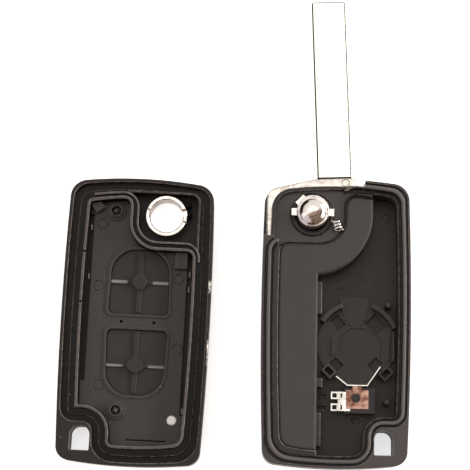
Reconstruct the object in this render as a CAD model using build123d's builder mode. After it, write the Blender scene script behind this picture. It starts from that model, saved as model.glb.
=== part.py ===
"""Two-button flip key shell, opened: back half with its folding blade, front half beside it.

The origin is the blade pivot on the table. X runs right, Y towards the blade tip and Z up out
of the table; both halves lie on their outer faces with their insides up.
"""

import math
import os

from build123d import *

os.makedirs("parts", exist_ok=True)

# Blade, and the room that it and the coin cell take in the closed key
blade_width = 8.8
blade_length = 57.9
blade_thickness = 2.1
blade_centre_x = 6.3
blade_root_y = 6.3
blade_lean = 2.6
blade_play = 0.2
blade_chamfer = 0.3
tip_room = 1.7
end_wall = 5.3
cell_radius = 10.1
cell_play = 0.2
tray_play = 0.45
tray_inset = 3.1
cover_right = 1.7
slot_wall = 1.5

# Outline of the closed key, the same for both halves
pivot_from_left = 12.65
pivot_from_top = 9.2
side_bulge = 0.75
side_taper = 0.17
top_bulge = 1.5
bottom_bulge = 1.3
top_corner = 4.5
bottom_corner = 3.6
face_rounding = 1.2
rim_rounding = 0.2

# Depth of the back half and of the steps in its rim
back_depth = 9.0
back_floor = 1.4
back_wall = 0.6
step_depth = 0.8
bead_inset = 1.7
bead_width = 0.9
bead_height = 0.8
gutter_width = 0.6
gutter_depth = 0.7

# Where the bead leaves the rim, round the pivot well and round the key ring corner
well_x = 8.0
well_y = -7.0
well_top_radius = 3.2
well_inner_radius = 6.0
well_side_radius = 3.0
ring_zone_width = 10.5
ring_zone_length = 11.6
ring_low_radius = 4.5
ring_inner_radius = 3.5
ring_side_radius = 2.6
loop_top_radius = 4.0
loop_low_radius = 5.8
least_radius = 0.3

# Key ring hole, square below and round above
ring_hole_from_side = 6.7
ring_hole_from_end = 6.6
ring_hole_width = 5.0
ring_hole_length = 6.1

# Flip head, hub and the pocket they turn in
head_thickness = 4.1
head_gap = 0.3
head_side_inset = 0.95
head_right = 12.1
head_rise = 0.55
hub_radius = 5.4
hub_gap = 0.3
hub_floor = 1.0
hub_flange = 0.6
hub_flange_height = 0.6
pocket_radius = 14.4
pocket_wall = 1.3
pocket_low_y = -10.4
well_floor = 1.0
well_lip_height = 1.4
well_lip_width = 0.9
well_lip_inset = 1.8
well_lip_radius = 5.5
corner_cut_gap = 1.5
corner_cut_y = -5.8
well_side_left = -8.6
well_side_low = -8.6
well_side_top = 6.0
blade_pin_x = 9.05
blade_pin_y = 8.45
blade_pin_radius = 1.0
blade_pin_chamfer = 0.15
tang_width = 3.9
tang_y = 0.1

# Cover over the pocket and the slot
cover_inset = 4.25
cover_shift = 0.8
cover_thickness = 2.0
cover_gutter = 0.6
cover_rounding = 0.7
slot_lip = 0.5
side_opening = 2.65

# Release button and its spring
button_radius = 4.15
button_play = 0.2
button_top = 14.6
button_travel = 1.5
dome_radius = 4.8
dome_edge = 3.85
skirt_level = 6.9
skirt_wall = 0.5
crown_level = 10.9
lug_level = 9.4
lug_height = 1.6
lug_reach = 5.45
lug_width = 1.9
slab_reach = 4.95
slab_width = 2.9
slab_turn = 135
pivot_post_radius = 2.5
post_play = 0.1
post_height = 2.2
spring_radius = 3.05
spring_wire = 0.4
spring_turns = 5
anchor_x = 6.7
anchor_y = -2.85
anchor_turn = -8
anchor_coil = 1.1
peg_radius = 0.5

# Coin cell seat and contacts in the tray
contact_room = 10.2
holder_base = 0.4
holder_wall = 1.0
holder_height = 3.4
window_depth = 0.6
rib_width = 0.35
rib_height = 0.25
block_height = 2.9
frame_height = 0.9
strip_thickness = 0.3
strip_height = 3.2
contact_sheet = 0.3
board_pin_radius = 0.75
board_pin_height = 4.6
ledge_height = 3.4

# Front half: where it lies, its rim groove and ridges
front_x = -37.7
front_y = -0.64
front_turn = -1.6
front_depth = 6.6
front_face = 1.3
front_wall = 0.9
groove_inset = 2.6
groove_level = 4.6
shelf_level = 5.2
ridge_level = 6.2
ridge_inset = 4.4
ridge_width = 0.65
ridge_shift = 0.6
inner_ridge_inset = 3.3
inner_ridge_shift = -0.95
inner_ridge_width = 0.5
inner_ridge_left = 18.8
inner_ridge_low = -12.0
well_drop = 1.0
well_side_wall = 4.4
well_top_wall = 3.5
well_kerb = 0.5

# Key plate, keys, locking ring and lamp lens
plate_thickness = 1.6
plate_gap = 0.15
plate_rim = 0.3
plate_rim_width = 0.65
side_slot_width = 1.45
side_slot_end = 15.6
far_slot_width = 1.35
far_slot_end = 13.8
far_slot_top = -9.7
clip_block_top = -9.2
slot_depth = 10.0
boss_radius = 2.45
boss_step_radius = 1.75
boss_step = 0.5
boss_height = 1.2
stake_pit_radius = 1.25
stake_tip_radius = 0.55
key_half_width = 7.75
key_length = 16.65
key_taper = 0.35
key_shoulder = 7.4
key_knee = 1.75
key_knee_inset = 2.35
key_base_radius = 1.6
key_from_middle = 2.1
key_offset = 0.4
key_gap = 0.15
key_flange = 1.0
key_sheet = 1.0
key_recess = 0.15
key_rest_gap = 0.03
key_rib_height = 0.5
key_nub_height = 1.3
lock_ring_wall = 1.13
lock_ring_play = 0.15
lock_ring_top = 5.0
lock_ring_flange = 0.5
press_gap = 0.04
lens_radius = 1.25
lens_from_side = 8.5
lens_from_end = 12.25

# Sizes and levels that follow from the above
shell_length = pivot_from_top + blade_length + tip_room + end_wall
shell_width = pivot_from_left + cover_right + 2 * cell_radius + tray_play + tray_inset
right_x = shell_width - pivot_from_left
low_y = pivot_from_top - shell_length
middle_x = (right_x - pivot_from_left) / 2
middle_y = (pivot_from_top + low_y) / 2
ring_corner_x = right_x - ring_zone_width
ring_corner_y = low_y + ring_zone_length
ring_hole_x = right_x - ring_hole_from_side
ring_hole_y = low_y + ring_hole_from_end
cell_x = cover_right + cell_radius + cell_play
cell_y = ring_corner_y + cell_radius + contact_room
bead_outer = bead_inset - bead_width / 2
bead_inner = bead_inset + bead_width / 2
head_left = head_side_inset - pivot_from_left
head_low = 0.3 - pivot_from_top
corner_cut_x = head_right + corner_cut_gap
blade_right_x = blade_centre_x + blade_width / 2
slot_right = cover_right - slot_wall
slot_left = -blade_right_x - blade_play
slot_end_y = -blade_length - tip_room
head_bottom = back_floor + head_gap
head_top = head_bottom + head_thickness
cover_seat = head_top + head_gap
well_level = cover_seat + well_floor
lip_level = well_level + well_lip_height
step_level = back_depth - step_depth
bead_top = back_depth + bead_height
blade_bottom = head_bottom + (head_thickness - blade_thickness) / 2
hub_top = lug_level - button_travel - hub_gap
holder_top = back_floor + holder_base
block_top = back_floor + block_height
plate_top = front_face + plate_thickness
lock_ring_bore = button_radius + lock_ring_play
lock_ring_radius = lock_ring_bore + lock_ring_wall
ridge_inner = ridge_inset + ridge_width
plate_edge = ridge_inner + plate_gap
key_centre_x = key_offset - middle_x

back = Plane.XY
cell = Plane(origin=(cell_x, cell_y, 0))
front = Plane(
    origin=(front_x, front_y, 0),
    x_dir=(math.cos(math.radians(front_turn)), math.sin(math.radians(front_turn)), 0),
    z_dir=(0, 0, 1),
)
flip = Plane(
    origin=(0, 0, 0),
    x_dir=(math.cos(math.radians(blade_lean)), math.sin(math.radians(blade_lean)), 0),
    z_dir=(0, 0, 1),
)


# Outline of a half moved inwards; hand is 1 for the back half and -1 for its mirror image
def outline(hand, inset, top_radius, low_radius):
    half = shell_width / 2 - inset
    top = pivot_from_top - inset
    low = low_y + inset
    upper = half - side_bulge + side_taper
    lower = half - side_bulge - side_taper
    mid = hand * middle_x
    top_left = (mid - upper, top - top_bulge)
    top_right = (mid + upper, top - top_bulge)
    low_right = (mid + lower, low + bottom_bulge)
    low_left = (mid - lower, low + bottom_bulge)
    with BuildSketch() as face:
        with BuildLine():
            ThreePointArc(top_left, (mid, top), top_right)
            ThreePointArc(top_right, (mid + half, (top + low) / 2), low_right)
            ThreePointArc(low_right, (mid, low), low_left)
            ThreePointArc(low_left, (mid - half, (top + low) / 2), top_left)
        make_face()
        fillet(face.vertices().sort_by(Axis.Y)[-2:], top_radius)
        fillet(face.vertices().sort_by(Axis.Y)[:2], low_radius)
    return face.sketch


# Outline without the pivot well and without the key ring corner, its corners rounded. The bead
# follows it at the bead's inset; well_shift moves only the stretch round the pivot well.
def rim_loop(hand, inset, well_shift=None, drop=0.0, well=True):
    shift = inset - bead_inset
    well_shift = shift if well_shift is None else well_shift
    side = Align.MAX if hand > 0 else Align.MIN
    other = Align.MIN if hand > 0 else Align.MAX
    top_radius = max(loop_top_radius - max(shift, 0), 2 * least_radius)
    low_radius = max(loop_low_radius - max(shift, 0), 2 * least_radius)
    x1 = hand * (well_x + well_shift)
    y1 = well_y - well_shift - drop
    x2 = hand * (ring_corner_x - shift)
    y2 = ring_corner_y + shift
    top = pivot_from_top - inset
    low = low_y + inset
    near = hand * (inset - pivot_from_left)
    far = hand * (right_x - inset)
    corners = [
        (x2, low, max(ring_low_radius - shift, least_radius)),
        (x2, y2, ring_inner_radius + shift),
        (far, y2, max(ring_side_radius - shift, least_radius)),
    ]
    if well:
        corners.append((x1, top, max(well_top_radius - well_shift, least_radius)))
        corners.append((x1, y1, well_inner_radius + well_shift))
        corners.append((near, y1, max(well_side_radius - well_shift, least_radius)))
    with BuildSketch() as face:
        add(outline(hand, inset, top_radius, low_radius))
        with Locations((x2, y2)):
            Rectangle(shell_width, shell_width, align=(other, Align.MAX), mode=Mode.SUBTRACT)
        if well:
            with Locations((x1, y1)):
                Rectangle(shell_width, shell_width, align=(side, Align.MIN), mode=Mode.SUBTRACT)
        for x, y, radius in corners:
            fillet(face.vertices().sort_by_distance((x, y, 0))[0], radius)
    return face.sketch


# Area above the flip pocket and the blade slot
def swing_area(radius, right):
    with BuildSketch() as face:
        Circle(radius)
        with Locations((radius, 0)):
            Rectangle(shell_length, shell_width, align=(Align.MAX, Align.MIN))
        with Locations((right, 0)):
            Rectangle(shell_width, shell_length, align=(Align.MAX, Align.MAX))
    return face.sketch


# Corner of the back half that the flip head leaves by
def head_corner():
    with BuildSketch() as face:
        with Locations((corner_cut_x, corner_cut_y)):
            Rectangle(shell_length, shell_width, align=(Align.MAX, Align.MIN))
    return face.sketch


# Stretch between the pivot well and the cover, where the rim has no bead
def well_side():
    reach = pocket_radius + pocket_wall - well_side_left
    with BuildSketch() as face:
        with Locations((well_side_left, well_side_low)):
            Rectangle(reach, well_side_top - well_side_low, align=(Align.MIN, Align.MIN))
    return face.sketch


# Key ring hole of a half
def ring_hole(hand):
    with BuildSketch() as face:
        with Locations((hand * ring_hole_x, ring_hole_y)):
            Rectangle(ring_hole_width, ring_hole_length)
        fillet(face.vertices().group_by(Axis.Y)[-1], ring_hole_width / 2 - least_radius)
        fillet(face.vertices().group_by(Axis.Y)[0], least_radius)
    return face.sketch


# Back half of the shell; places in the tray are measured from the centre of the cell
seat = cell_radius
windows = [
    (5.3 - seat, seat - 4.3, 128, 3.4, 2.7),
    (seat - 5.0, seat - 4.7, 45, 3.6, 4.4),
    (5.1 - seat, 5.1 - seat, 225, 2.2, 3.0),
    (seat - 5.2, 5.2 - seat, -45, 2.4, 3.2),
]
board_pins = [(seat - 2.1, seat), (seat - 2.4, -seat - 4.7)]
ledges = [(16.0, 1.2, 8.4), (-9.0, 1.5, 2.2), (-17.8, 1.2, 8.4)]
ejector_marks = [(7.7, 33.5), (-4.3, 15.4), (1.8, 16.8)]
with BuildPart() as back_shell:
    with BuildSketch(back):
        add(outline(1, 0, top_corner, bottom_corner))
    extrude(amount=back_depth)
    fillet(back_shell.edges().group_by(Axis.Z)[0], face_rounding)
    fillet(back_shell.edges().group_by(Axis.Z)[-1], rim_rounding)
    # step inside the thin outer wall, with the bead standing on it and a gutter behind the bead
    with BuildSketch(back.offset(step_level)):
        add(rim_loop(1, back_wall))
    extrude(amount=back_depth, mode=Mode.SUBTRACT)
    with BuildSketch(back.offset(step_level)):
        add(rim_loop(1, bead_outer))
        add(rim_loop(1, bead_inner), mode=Mode.SUBTRACT)
    extrude(amount=bead_top - step_level)
    fillet(back_shell.edges().group_by(Axis.Z)[-1], bead_width / 3)
    with BuildSketch(back.offset(step_level - gutter_depth)):
        add(rim_loop(1, bead_inner))
        add(rim_loop(1, bead_inner + gutter_width), mode=Mode.SUBTRACT)
    extrude(amount=gutter_depth, mode=Mode.SUBTRACT)
    # tray for the circuit board and the cell
    with BuildSketch(back.offset(back_floor)):
        add(rim_loop(1, tray_inset))
        add(swing_area(pocket_radius + pocket_wall, cover_right), mode=Mode.SUBTRACT)
    extrude(amount=back_depth, mode=Mode.SUBTRACT)
    # seat of the slot cover
    with BuildSketch(back.offset(cover_seat)):
        add(rim_loop(1, cover_inset, cover_shift))
        add(swing_area(pocket_radius + pocket_wall, cover_right), mode=Mode.INTERSECT)
    extrude(amount=back_depth, mode=Mode.SUBTRACT)
    # pocket for the flip head and slot for the folded blade
    with BuildSketch(back.offset(back_floor)):
        Circle(pocket_radius)
        with Locations((corner_cut_x, 0)):
            Rectangle(shell_length, shell_width, align=(Align.MAX, Align.MIN))
        with Locations((0, pocket_low_y)):
            Rectangle(shell_length, shell_width, align=(Align.MAX, Align.MIN))
        with Locations((slot_right, slot_end_y)):
            Rectangle(slot_right - slot_left, blade_length, align=(Align.MAX, Align.MIN))
    extrude(amount=cover_seat - back_floor, mode=Mode.SUBTRACT)
    with BuildSketch(back.offset(back_floor + slot_lip)):
        with Locations((side_opening - pivot_from_left, slot_end_y)):
            Rectangle(shell_width, blade_length - blade_root_y, align=(Align.MAX, Align.MIN))
    extrude(amount=cover_seat - back_floor - slot_lip, mode=Mode.SUBTRACT)
    # corner above the flip head, cut back to a lip round the well floor
    with BuildSketch(back.offset(cover_seat)):
        add(head_corner())
        add(outline(1, well_lip_inset, well_lip_radius, bottom_corner), mode=Mode.SUBTRACT)
    extrude(amount=back_depth, mode=Mode.SUBTRACT)
    with BuildSketch(back.offset(lip_level)):
        add(head_corner())
        add(rim_loop(1, bead_outer), mode=Mode.SUBTRACT)
    extrude(amount=back_depth, mode=Mode.SUBTRACT)
    with BuildSketch(back.offset(well_level)):
        add(outline(1, well_lip_inset + well_lip_width, well_lip_radius - well_lip_width, bottom_corner))
        add(rim_loop(1, bead_outer), mode=Mode.SUBTRACT)
        with Locations((0, well_side_low)):
            Rectangle(shell_length, shell_width, align=(Align.CENTER, Align.MIN), mode=Mode.INTERSECT)
    extrude(amount=back_depth, mode=Mode.SUBTRACT)
    # no bead between the well and the cover, only a narrow gutter
    with BuildSketch(back.offset(well_level)):
        add(rim_loop(1, bead_outer - 0.1, -bead_width / 2 - 0.1))
        add(rim_loop(1, cover_inset - cover_gutter, cover_shift), mode=Mode.SUBTRACT)
        add(well_side(), mode=Mode.INTERSECT)
    extrude(amount=back_depth, mode=Mode.SUBTRACT)
    with BuildSketch(back.offset(well_level - cover_gutter)):
        add(rim_loop(1, cover_inset - cover_gutter, cover_shift - cover_gutter))
        add(rim_loop(1, cover_inset - press_gap, cover_shift - press_gap), mode=Mode.SUBTRACT)
        add(well_side(), mode=Mode.INTERSECT)
    extrude(amount=back_depth, mode=Mode.SUBTRACT)
    # hub hole in the well floor and pivot post on the shell floor
    with BuildSketch(back.offset(cover_seat)):
        Circle(hub_radius + hub_gap)
    extrude(amount=back_depth, mode=Mode.SUBTRACT)
    with BuildSketch(back.offset(back_floor)):
        Circle(pivot_post_radius)
    extrude(amount=post_height)
    # hole for the peg of the spring anchor, and key ring hole
    with BuildSketch(back.offset(cover_seat)):
        with Locations((anchor_x, anchor_y)):
            Circle(peg_radius)
    extrude(amount=well_floor, mode=Mode.SUBTRACT)
    with BuildSketch(back):
        add(ring_hole(1))
    extrude(amount=bead_top, mode=Mode.SUBTRACT)
    # ledges that carry the circuit board, and the strike mark of each ejector
    with BuildSketch(back.offset(back_floor)):
        for y, deep, long in ledges:
            with Locations((cover_right, cell_y + y)):
                Rectangle(deep, long, align=(Align.MIN, Align.MAX))
    extrude(amount=ledge_height)
    with BuildSketch(cell.offset(back_floor - 0.15)):
        with Locations(*ejector_marks):
            Circle(1.3)
            Circle(1.0, mode=Mode.SUBTRACT)
    extrude(amount=0.15, mode=Mode.SUBTRACT)
    # pockets under the windows of the cell holder, below the contact block and under its fork
    with BuildSketch(cell.offset(back_floor - window_depth)):
        for x, y, turn, deep, wide in windows:
            with Locations(Location((x, y, 0), turn)):
                Rectangle(deep, wide)
        with Locations((0.3, -seat - 9.3)):
            SlotOverall(2.6, 1.6)
        with Locations((-8.8, -seat - 3.2), (-8.8, -seat - 6.2)):
            Rectangle(2.2, 1.1)
    extrude(amount=window_depth, mode=Mode.SUBTRACT)
    # pins that locate the circuit board
    with BuildSketch(cell.offset(back_floor)):
        with Locations(*board_pins):
            Circle(board_pin_radius)
    extrude(amount=board_pin_height)
    pin_top = back_floor + board_pin_height
    flat_faces = back_shell.faces().filter_by(Axis.Z)
    pin_faces = flat_faces.filter_by_position(Axis.Z, pin_top - 0.01, pin_top + 0.01)
    chamfer(pin_faces.edges(), board_pin_radius / 2.5)
back_shell.part.label = "back_shell"
export_step(back_shell.part, "parts/back_shell.step")

# Cover over the flip pocket and the blade slot, welded into its seat
with BuildPart() as slot_cover:
    with BuildSketch(back.offset(cover_seat)):
        add(rim_loop(1, cover_inset + press_gap, cover_shift + press_gap))
        add(swing_area(pocket_radius + pocket_wall, cover_right), mode=Mode.INTERSECT)
    extrude(amount=cover_thickness)
    fillet(slot_cover.edges().group_by(Axis.Z)[-1], min(cover_rounding, cover_thickness / 2))
slot_cover.part.label = "slot_cover"
export_step(slot_cover.part, "parts/slot_cover.step")

# Flip head, the bow that carries the blade; its lower edge becomes the top of the folded key
with BuildPart() as flip_head:
    top_y = pivot_from_top + head_rise
    knee = (1.6, top_y)
    shoulder = (-6.3, pivot_from_top - 0.9)
    top_left = (head_left + 0.5, pivot_from_top - 1.8)
    with BuildSketch(flip.offset(head_bottom)) as head_face:
        with BuildLine():
            Line((head_right, head_low + 1.3), (head_right, top_y))
            Line((head_right, top_y), knee)
            Line(knee, shoulder)
            Line(shoulder, top_left)
            ThreePointArc(top_left, (head_left + 0.05, 0), (head_left, head_low))
            ThreePointArc((head_left, head_low), (0, head_low), (head_right, head_low + 1.3))
        make_face()
        fillet(head_face.vertices().sort_by_distance((*top_left, 0))[0], 3.0)
        fillet(head_face.vertices().sort_by_distance((head_left, head_low, 0))[0], 3.5)
        fillet(head_face.vertices().sort_by_distance((head_right, head_low + 1.3, 0))[0], 4.4)
        fillet(head_face.vertices().sort_by_distance((head_right, top_y, 0))[0], 0.8)
    extrude(amount=head_thickness)
    fillet(flip_head.edges().group_by(Axis.Z)[-1], 0.5)
    fillet(flip_head.edges().group_by(Axis.Z)[0], 0.5)
    # bore for the hub and its flange, slot for the blade tang and hole for its pin
    with BuildSketch(flip.offset(head_bottom)):
        Circle(hub_radius)
    extrude(amount=head_thickness, mode=Mode.SUBTRACT)
    with BuildSketch(flip.offset(head_top - hub_flange_height)):
        Circle(hub_radius + hub_flange)
    extrude(amount=hub_flange_height, mode=Mode.SUBTRACT)
    with BuildSketch(flip.offset(blade_bottom)):
        with Locations((blade_centre_x, blade_root_y)):
            Rectangle(blade_width, head_right, align=(Align.CENTER, Align.MIN))
        with Locations((blade_right_x, tang_y)):
            Rectangle(tang_width, blade_root_y, align=(Align.MAX, Align.MIN))
    extrude(amount=blade_thickness, mode=Mode.SUBTRACT)
    with BuildSketch(flip.offset(head_bottom)):
        with Locations((blade_pin_x, blade_pin_y)):
            Circle(blade_pin_radius)
    extrude(amount=head_thickness, mode=Mode.SUBTRACT)
flip_head.part.label = "flip_head"
export_step(flip_head.part, "parts/flip_head.step")

# Hub pressed into the flip head; it turns on the pivot post and guides the button
with BuildPart() as hub_bush:
    with BuildSketch(back.offset(head_bottom)):
        Circle(hub_radius)
    extrude(amount=hub_top - head_bottom)
    chamfer(hub_bush.edges().group_by(Axis.Z)[-1], 0.3)
    with BuildSketch(back.offset(head_top - hub_flange_height)):
        Circle(hub_radius + hub_flange)
    extrude(amount=hub_flange_height)
    with BuildSketch(back.offset(head_bottom + hub_floor)):
        Circle(button_radius + button_play)
    extrude(amount=button_top, mode=Mode.SUBTRACT)
    with BuildSketch(back.offset(head_bottom)):
        Circle(pivot_post_radius + post_play)
    extrude(amount=head_thickness, mode=Mode.SUBTRACT)
hub_bush.part.label = "hub_bush"
export_step(hub_bush.part, "parts/hub_bush.step")

# Uncut key blade with its tang
with BuildPart() as blade:
    with BuildSketch(flip.offset(blade_bottom)) as blade_face:
        with Locations((blade_centre_x, blade_root_y)):
            Rectangle(blade_width, blade_length - blade_root_y, align=(Align.CENTER, Align.MIN))
        fillet(blade_face.vertices().group_by(Axis.Y)[-1], 0.6)
        with Locations((blade_right_x, tang_y)):
            Rectangle(tang_width, blade_root_y, align=(Align.MAX, Align.MIN))
    extrude(amount=blade_thickness)
    chamfer(blade.edges().group_by(Axis.Z)[-1], blade_chamfer)
    chamfer(blade.edges().group_by(Axis.Z)[0], blade_chamfer)
    with BuildSketch(flip.offset(blade_bottom)):
        with Locations((blade_pin_x, blade_pin_y)):
            Circle(blade_pin_radius)
    extrude(amount=blade_thickness, mode=Mode.SUBTRACT)
blade.part.label = "blade"
export_step(blade.part, "parts/blade.step")

# Straight pin with chamfered ends that holds the blade in the flip head
with BuildPart() as blade_pin:
    with BuildSketch(flip.offset(head_bottom)):
        with Locations((blade_pin_x, blade_pin_y)):
            Circle(blade_pin_radius)
    extrude(amount=head_thickness)
    chamfer(blade_pin.edges().group_by(Axis.Z)[-1], blade_pin_chamfer)
    chamfer(blade_pin.edges().group_by(Axis.Z)[0], blade_pin_chamfer)
blade_pin.part.label = "blade_pin"
export_step(blade_pin.part, "parts/blade_pin.step")

# Release button: domed cap with a skirt in the hub, two lugs and the locking slab
dome_start = math.degrees(math.acos(dome_edge / dome_radius))
with BuildPart() as release_button:
    with BuildSketch(Plane.XZ):
        with BuildLine():
            dome = CenterArc((0, button_top - dome_radius), dome_radius, dome_start, 90 - dome_start)
            rim_level = (dome @ 0).Y
            Polyline(
                dome @ 0,
                (button_radius - button_play, rim_level),
                (button_radius, rim_level - button_play),
                (button_radius, skirt_level),
                (button_radius - skirt_wall, skirt_level),
                (button_radius - skirt_wall, crown_level),
                (0, crown_level),
                dome @ 1,
            )
        make_face()
    revolve(axis=Axis.Z)
    with BuildSketch(back.offset(lug_level)):
        Rectangle(2 * lug_reach, lug_width)
        with Locations(Location((0, 0, 0), slab_turn)):
            Rectangle(slab_reach, slab_width, align=(Align.MIN, Align.CENTER))
        Circle(button_radius - skirt_wall / 2, mode=Mode.SUBTRACT)
    extrude(amount=lug_height)
release_button.part.label = "release_button"
export_step(release_button.part, "parts/release_button.step")

# Flip spring, coiled round the pivot post under the button
spring_low = head_bottom + hub_floor + spring_wire + press_gap
spring_high = crown_level - spring_wire - press_gap
with BuildPart() as flip_spring:
    with BuildLine():
        Helix(
            pitch=(spring_high - spring_low) / spring_turns,
            height=spring_high - spring_low,
            radius=spring_radius,
            center=(0, 0, spring_low),
        )
    wire_end = Plane(origin=(spring_radius, 0, spring_low), x_dir=(1, 0, 0), z_dir=(0, 1, 0.06))
    with BuildSketch(wire_end):
        RegularPolygon(spring_wire, 6)
    sweep(is_frenet=True)
flip_spring.part.label = "flip_spring"
export_step(flip_spring.part, "parts/flip_spring.step")

# Closed end coil that anchors the flip spring in the well floor
anchor_pull = math.radians(anchor_turn)
anchor = Plane(
    origin=(anchor_x, anchor_y, well_level + anchor_coil),
    x_dir=(0, 0, 1),
    z_dir=(math.sin(-anchor_pull), -math.cos(anchor_pull), 0),
)
with BuildPart() as spring_anchor:
    for place in (-1.35, -0.45, 0.45, 1.35):
        with BuildSketch(anchor.offset(place)):
            Circle(anchor_coil)
            Circle(anchor_coil - 0.7, mode=Mode.SUBTRACT)
        extrude(amount=0.38, both=True)
    with BuildSketch(anchor.offset(-1.6)):
        Circle(anchor_coil - 0.15)
        Circle(anchor_coil - 0.55, mode=Mode.SUBTRACT)
    extrude(amount=3.2)
    with BuildSketch(back.offset(cover_seat)):
        with Locations((anchor_x, anchor_y)):
            Circle(peg_radius - press_gap)
    extrude(amount=well_floor + peg_radius)
spring_anchor.part.label = "spring_anchor"
export_step(spring_anchor.part, "parts/spring_anchor.step")

# Holder for the coin cell on the tray floor
towers = [(3.0 - seat, 3.0 - seat, 225), (seat - 2.6, 2.7 - seat, -45)]
octagon = [
    (-1.8, 4.7),
    (2.3, 4.7),
    (6.2, 2.0),
    (6.2, -4.6),
    (2.5, -seat),
    (-2.2, -seat),
    (-5.1, -7.9),
    (-4.1, -3.6),
    (-4.1, 2.3),
]
tongue = [(-4.1, 12.1), (3.3, 12.1), (2.9, 8.7), (2.3, 6.4), (-2.8, 6.4), (-3.7, 8.7)]
with BuildPart() as battery_holder:
    with BuildSketch(cell.offset(back_floor)):
        Circle(seat)
        with Locations((-0.4, seat + 2.2)):
            Rectangle(7.7, 6, align=(Align.CENTER, Align.MAX))
        with Locations((-0.7, -seat - 0.9)):
            Rectangle(9.6, 4, align=(Align.CENTER, Align.MIN))
    extrude(amount=holder_base)
    # rib that follows the contact window, tongue at the top and bars beside the window
    with BuildSketch(cell.offset(holder_top)):
        Polygon(*octagon, align=None)
        offset(amount=-rib_width, kind=Kind.INTERSECTION, mode=Mode.SUBTRACT)
    extrude(amount=rib_height)
    with BuildSketch(cell.offset(holder_top)):
        Polygon(*tongue, align=None)
        with Locations((-0.25, 6.8)):
            Circle(2.2)
    extrude(amount=rib_height)
    with BuildSketch(cell.offset(holder_top)):
        with Locations((-5.9, -0.3)):
            Rectangle(0.9, 4.8)
        with Locations((8.2, -1.3)):
            Rectangle(0.5, 5.2)
    extrude(amount=2 * rib_height)
    with BuildSketch(cell.offset(back_floor)):
        for x, y, turn, deep, wide in windows:
            with Locations(Location((x, y, 0), turn)):
                Rectangle(deep, wide)
    extrude(amount=holder_height, mode=Mode.SUBTRACT)
    # walls round the cell and the two hollow clip towers
    with BuildSketch(cell.offset(back_floor)):
        for first, last in ((111, 147), (24, 68)):
            with BuildLine():
                inner = CenterArc((0, 0), seat, first, last - first)
                outer = CenterArc((0, 0), seat + holder_wall, first, last - first)
                Line(inner @ 0, outer @ 0)
                Line(inner @ 1, outer @ 1)
            make_face()
    extrude(amount=holder_height)
    with BuildSketch(cell.offset(back_floor)):
        for x, y, turn in towers:
            with Locations(Location((x, y, 0), turn)):
                Rectangle(2.5, 3.2)
                Rectangle(1.5, 2.2, mode=Mode.SUBTRACT)
    extrude(amount=holder_height)
battery_holder.part.label = "battery_holder"
export_step(battery_holder.part, "parts/battery_holder.step")

# Block that carries the contacts; its places are measured from the lower edge of the cell seat
contacts = Plane(origin=(cell_x, cell_y - cell_radius, 0))
stake = (-0.16, -3.7)
stake_radius = 1.1
with BuildPart() as contact_block:
    with BuildSketch(contacts.offset(back_floor)):
        with Locations((-3.0, -1.05)):
            Rectangle(7.8, 6.6, align=(Align.MIN, Align.MAX))
    extrude(amount=block_height)
    with BuildSketch(contacts.offset(block_top - contact_sheet)):
        with Locations((-3.0, -1.05)):
            Rectangle(1.6, 6.6, align=(Align.MIN, Align.MAX))
    extrude(amount=contact_sheet, mode=Mode.SUBTRACT)
    with BuildSketch(contacts.offset(block_top)):
        with Locations((3.2, -1.5)):
            Rectangle(1.5, 5.8, align=(Align.MIN, Align.MAX))
        with Locations((-1.4, -6.65)):
            Rectangle(6.1, 1.0, align=(Align.MIN, Align.MAX))
    extrude(amount=frame_height)
    with BuildSketch(contacts.offset(block_top)):
        with Locations(stake):
            Circle(stake_radius)
    extrude(amount=contact_sheet + 0.25)
contact_block.part.label = "contact_block"
export_step(contact_block.part, "parts/contact_block.step")

# Bent contact strip standing round the lower end of the cell
with BuildPart() as contact_strip:
    with BuildSketch(contacts.offset(holder_top)):
        with BuildLine() as path:
            Polyline((-5.25, 1.75), (-2.35, -0.5), (2.7, -0.5), (6.0, 4.35))
        trace(path.line, strip_thickness)
    extrude(amount=strip_height)
contact_strip.part.label = "contact_strip"
export_step(contact_strip.part, "parts/contact_strip.step")

# Copper contact plate on the block
with BuildPart() as contact_plate:
    with BuildSketch(contacts.offset(block_top)):
        with Locations((-2.65, -1.7)):
            Rectangle(5.75, 4.75, align=(Align.MIN, Align.MAX))
        with Locations((0.2, -0.68)):
            Rectangle(2.4, 2, align=(Align.CENTER, Align.MAX))
        with Locations(stake):
            Circle(stake_radius + press_gap, mode=Mode.SUBTRACT)
    extrude(amount=contact_sheet)
contact_plate.part.label = "contact_plate"
export_step(contact_plate.part, "parts/contact_plate.step")

# Two-pronged spring contact clamped under the copper plate: each prong has a window at its tip
# and a narrow one at its root, with a pressed-up bar between them
prong_width = 1.9
prong_pitch = 3.0
prong_root = 1.75
fork_heel = 3.2
fork_middle = -4.6
fork_left = -6.5
fork_window = 1.1
fork_slit = 0.45
fork_bar = 0.8
with BuildPart() as contact_fork:
    with BuildSketch(contacts.offset(block_top - contact_sheet)):
        with Locations((fork_left + prong_root, fork_middle)):
            Rectangle(fork_heel, prong_pitch + prong_width, align=(Align.MIN, Align.CENTER))
        with Locations((fork_left, fork_middle)):
            with GridLocations(0, prong_pitch, 1, 2):
                Rectangle(prong_root, prong_width, align=(Align.MIN, Align.CENTER))
        with Locations((fork_left + 0.9, fork_middle)):
            with GridLocations(0, prong_pitch, 1, 2):
                Rectangle(fork_window, fork_window, mode=Mode.SUBTRACT)
        with Locations((fork_left + 2.7, fork_middle)):
            with GridLocations(0, prong_pitch, 1, 2):
                Rectangle(fork_slit, fork_window, mode=Mode.SUBTRACT)
    extrude(amount=contact_sheet)
    with BuildSketch(contacts.offset(block_top)):
        with Locations((fork_left + 2.0, fork_middle)):
            with GridLocations(0, prong_pitch, 1, 2):
                Rectangle(fork_bar, prong_width)
    extrude(amount=contact_sheet)
contact_fork.part.label = "contact_fork"
export_step(contact_fork.part, "parts/contact_fork.step")


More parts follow.
